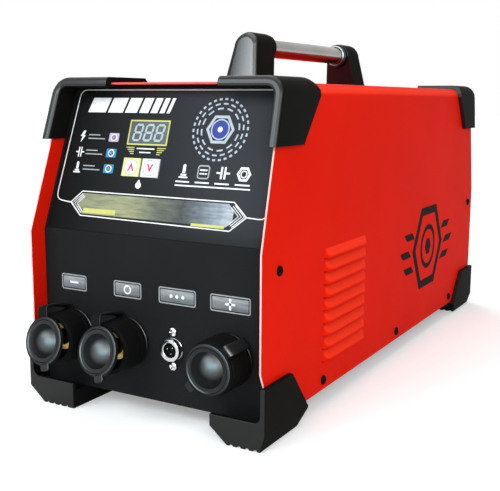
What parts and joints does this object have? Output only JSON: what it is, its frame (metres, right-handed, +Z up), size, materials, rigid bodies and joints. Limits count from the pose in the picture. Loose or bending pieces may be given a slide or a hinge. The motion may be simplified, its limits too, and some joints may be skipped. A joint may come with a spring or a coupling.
{
  "type": "stud welder",
  "caption": "Portable capacitor discharge stud welder: red sheet cover, leaning control field, capped weld sockets, corner guards and a carrying handle.",
  "frame": {"origin": "on the floor under the middle of the whole object", "axes": "+Z up, front panel facing -Y, +X to the right seen from the front"},
  "size_m": [0.208, 0.5388, 0.286],
  "materials": {
    "red_paint": "satin powder coat",
    "black_paint": "fine textured powder coat",
    "black_plastic": "satin moulded plastic",
    "rubber": "satin moulded rubber",
    "overlay": "satin printed film",
    "keys": "printed key face",
    "bright_steel": "polished",
    "zinc": "zinc plated",
    "brass": "turned",
    "copper": "bright copper",
    "board": "solder mask",
    "lens": "smoked window",
    "lamps": "clear tinted",
    "can_sleeve": "shrink sleeve",
    "core_iron": "varnished laminations",
    "aluminium": "extruded",
    "rocker_red": "gloss moulded"
  },
  "bodies": {
    "case": {"top_cover": "red_paint", "base_tray": "black_paint", "front_panel": "black_paint", "leaning_panel": "black_paint", "front_rim": "black_paint", "rear_panel": "black_paint", "side_screws": "black_plastic", "guard_front_left": "black_plastic", "guard_front_right": "black_plastic", "guard_rear_left": "black_plastic", "guard_rear_right": "black_plastic", "foot_front_left": "black_plastic", "foot_front_right": "black_plastic", "foot_rear_left": "black_plastic", "foot_rear_right": "black_plastic", "handle_front_post": "black_plastic", "handle_rear_post": "black_plastic", "board_modules": "black_plastic", "socket_body_1": "black_plastic", "socket_body_2": "black_plastic", "socket_body_3": "black_plastic", "control_socket_insert": "black_plastic", "fan_frame": "black_plastic", "switch_body": "black_plastic", "cable_gland": "black_plastic", "thyristor": "black_plastic", "cap_strap_1": "rubber", "cap_strap_2": "rubber", "cap_strap_3": "rubber", "control_overlay": "overlay", "handle_tube": "bright_steel", "handle_collars": "bright_steel", "control_socket_shell": "bright_steel", "control_socket_screws": "bright_steel", "panel_screws": "zinc", "handle_bolts": "zinc", "socket_nuts": "zinc", "fan_guard": "zinc", "capacitor_clamp": "zinc", "board_standoffs": "brass", "socket_contact_1": "brass", "socket_contact_2": "brass", "socket_contact_3": "brass", "earth_stud": "brass", "positive_busbar": "copper", "negative_busbar": "copper", "transformer_coil": "copper", "control_board": "board", "display_window": "lens", "indicator_lamps": "lamps", "capacitors": "can_sleeve", "transformer_core": "core_iron", "heat_sink": "aluminium"},
    "up_key": {"up_key": "keys"},
    "down_key": {"down_key": "keys"},
    "cap_1": {"dust_cap_1": "rubber"},
    "cap_2": {"dust_cap_2": "rubber"},
    "cap_3": {"dust_cap_3": "rubber"},
    "fan": {"fan_rotor": "black_plastic"},
    "rocker": {"switch_rocker": "rocker_red"}
  },
  "joints": [
    {"name": "up_key_press", "type": "slide", "parent": "case", "child": "up_key", "axis": [0, 0.9494, -0.3142], "range_m": [0, 0.0007], "stiffness_N_per_m": 600},
    {"name": "down_key_press", "type": "slide", "parent": "case", "child": "down_key", "axis": [0, 0.9494, -0.3142], "range_m": [0, 0.0007], "stiffness_N_per_m": 600},
    {"name": "cap_1_fold", "type": "hinge", "parent": "case", "child": "cap_1", "pos_m": [-0.07653, -0.25538, 0.08001], "axis": [-0.9613, 0, -0.2756], "range_deg": [-14, 105], "stiffness_Nm_per_rad": 0.08},
    {"name": "cap_2_fold", "type": "hinge", "parent": "case", "child": "cap_2", "pos_m": [-0.02653, -0.25538, 0.08001], "axis": [-0.9613, 0, -0.2756], "range_deg": [-14, 105], "stiffness_Nm_per_rad": 0.08},
    {"name": "cap_3_fold", "type": "hinge", "parent": "case", "child": "cap_3", "pos_m": [0.08249, -0.25538, 0.07049], "axis": [-0.7071, 0, 0.7071], "range_deg": [0, 120], "stiffness_Nm_per_rad": 0.08},
    {"name": "fan_spin", "type": "hinge", "parent": "case", "child": "fan", "pos_m": [-0.038, 0.23187, 0.0766], "axis": [0, 1, 0], "continuous": true},
    {"name": "rocker_tilt", "type": "hinge", "parent": "case", "child": "rocker", "pos_m": [0.054, 0.24387, 0.0954], "axis": [1, 0, 0], "range_deg": [0, 20]}
  ]
}
